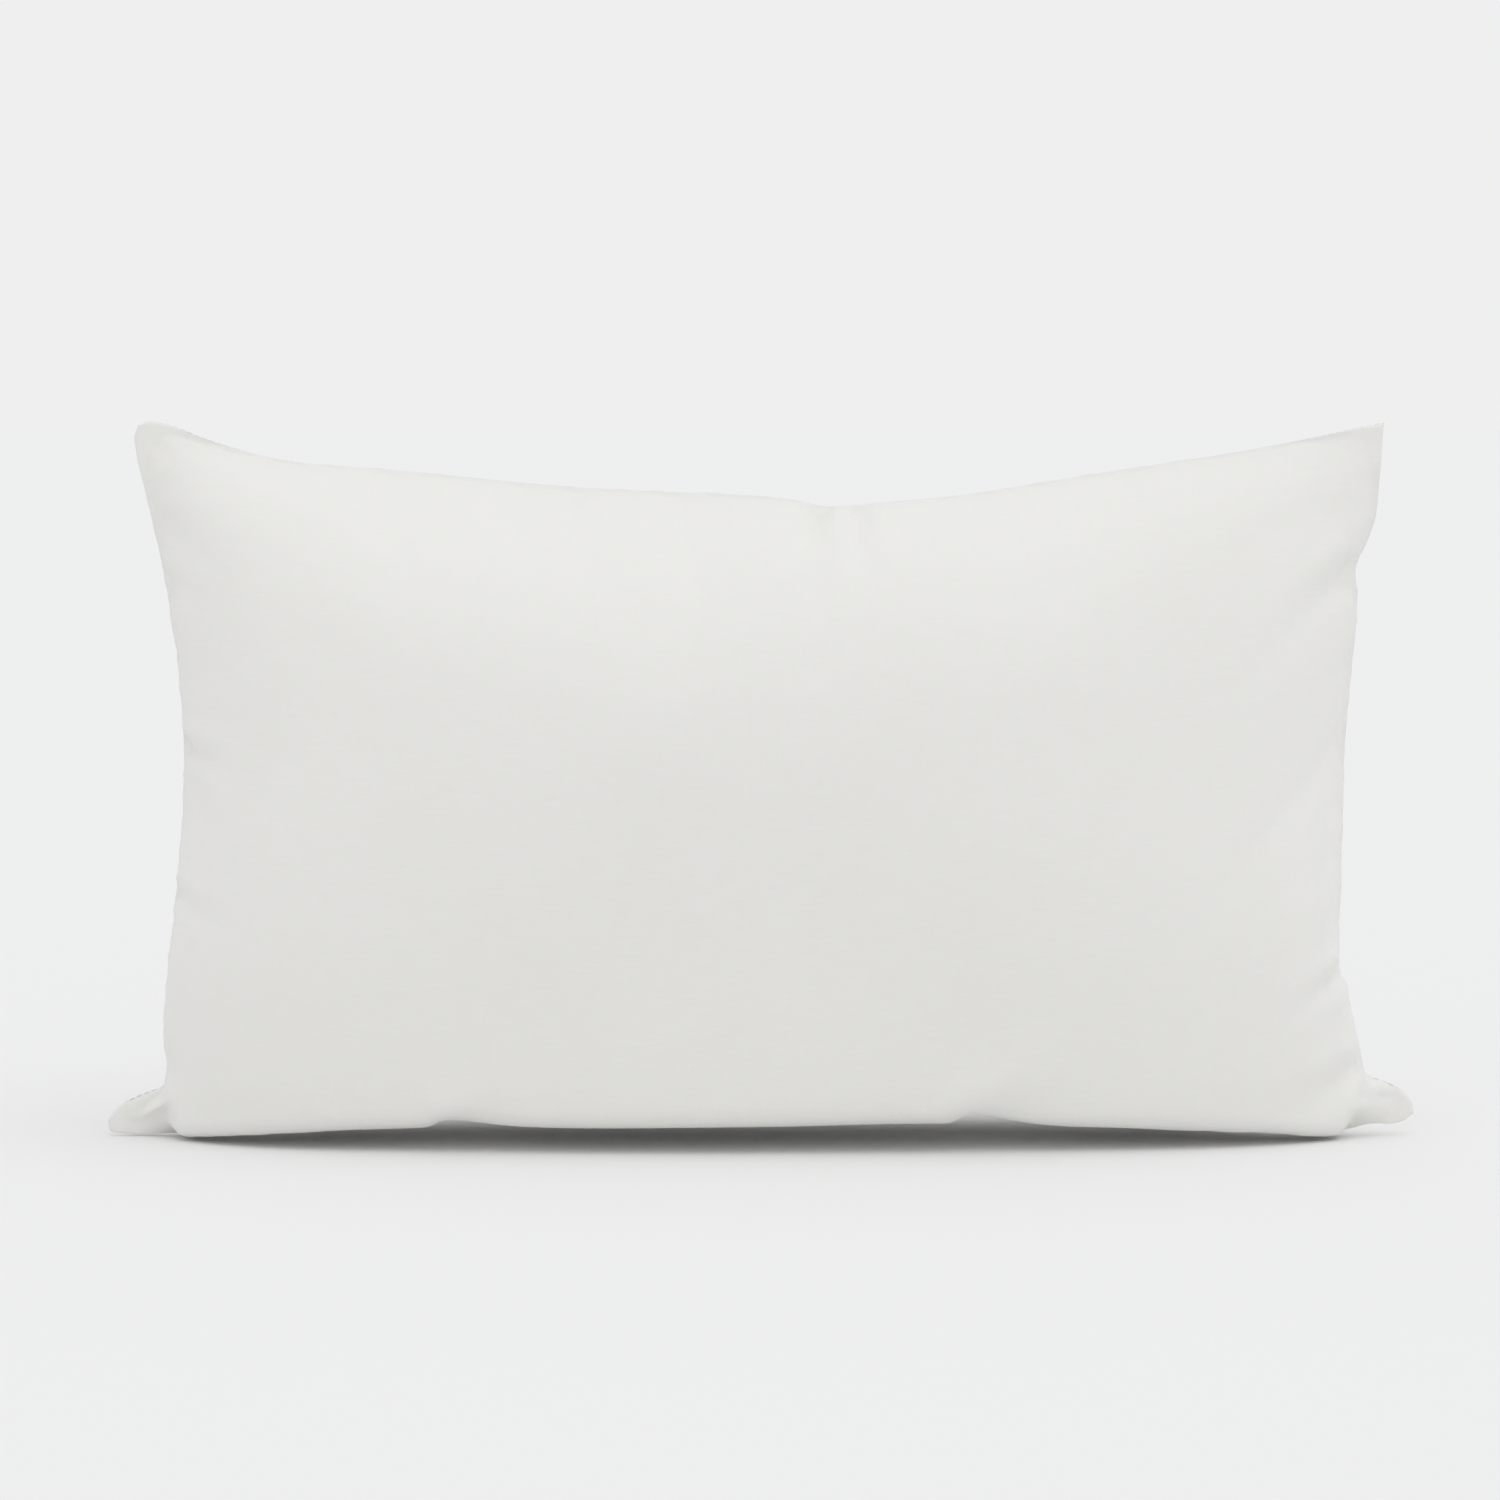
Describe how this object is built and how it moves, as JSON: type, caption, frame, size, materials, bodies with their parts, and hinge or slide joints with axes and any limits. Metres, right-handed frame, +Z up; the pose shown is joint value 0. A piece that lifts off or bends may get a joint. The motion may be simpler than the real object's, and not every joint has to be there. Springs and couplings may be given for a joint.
{
  "type": "bed pillow",
  "caption": "Rectangular knife-edge pillow standing on its long edge: zipped fabric cover over a fibre-filled inner pillow.",
  "frame": {"origin": "middle of the footprint, on the surface that the pillow stands on", "axes": "+X along the pillow's long side, to the right seen from the front; +Y from the front face to the back face; +Z up"},
  "size_m": [0.5, 0.1328, 0.275],
  "materials": {
    "cover_cloth": "plain woven cotton, fine slubs, matt",
    "thread": "spun polyester sewing thread",
    "label": "blank satin tape",
    "ticking": "close plain-woven cotton, matt",
    "fibre": "hollow polyester fibre",
    "zip_tape": "herringbone woven tape",
    "zip_coil": "nylon monofilament",
    "zip_metal": "white enamel on die-cast zinc",
    "zip_stop": "crimped wire"
  },
  "bodies": {
    "pillow": {"cover_front": "cover_cloth", "cover_back_upper": "cover_cloth", "cover_back_lower": "cover_cloth", "cover_seam_thread": "thread", "back_seam_thread_left": "thread", "back_seam_thread_right": "thread", "care_label": "label", "insert_front": "ticking", "insert_back": "ticking", "insert_seam_thread": "thread", "insert_closing_thread": "thread", "insert_label": "label", "fibre_fill": "fibre", "zip_tape_upper": "zip_tape", "zip_tape_lower": "zip_tape", "zip_coil_upper": "zip_coil", "zip_coil_lower": "zip_coil", "zip_top_stop_upper": "zip_stop", "zip_top_stop_lower": "zip_stop", "zip_bottom_stop": "zip_stop", "zip_stitching_upper": "thread", "zip_stitching_lower": "thread"},
    "slider": {"zip_slider": "zip_metal"},
    "pull": {"zip_pull": "zip_metal"}
  },
  "joints": [
    {"name": "zip_slide", "type": "slide", "parent": "pillow", "child": "slider", "axis": [-1, 0, 0], "range_m": [0, 0.316]},
    {"name": "pull_swing", "type": "hinge", "parent": "slider", "child": "pull", "pos_m": [0.158, 0.05986, 0.03283], "axis": [0, -0.3126, -0.9499], "range_deg": [0, 180]}
  ]
}
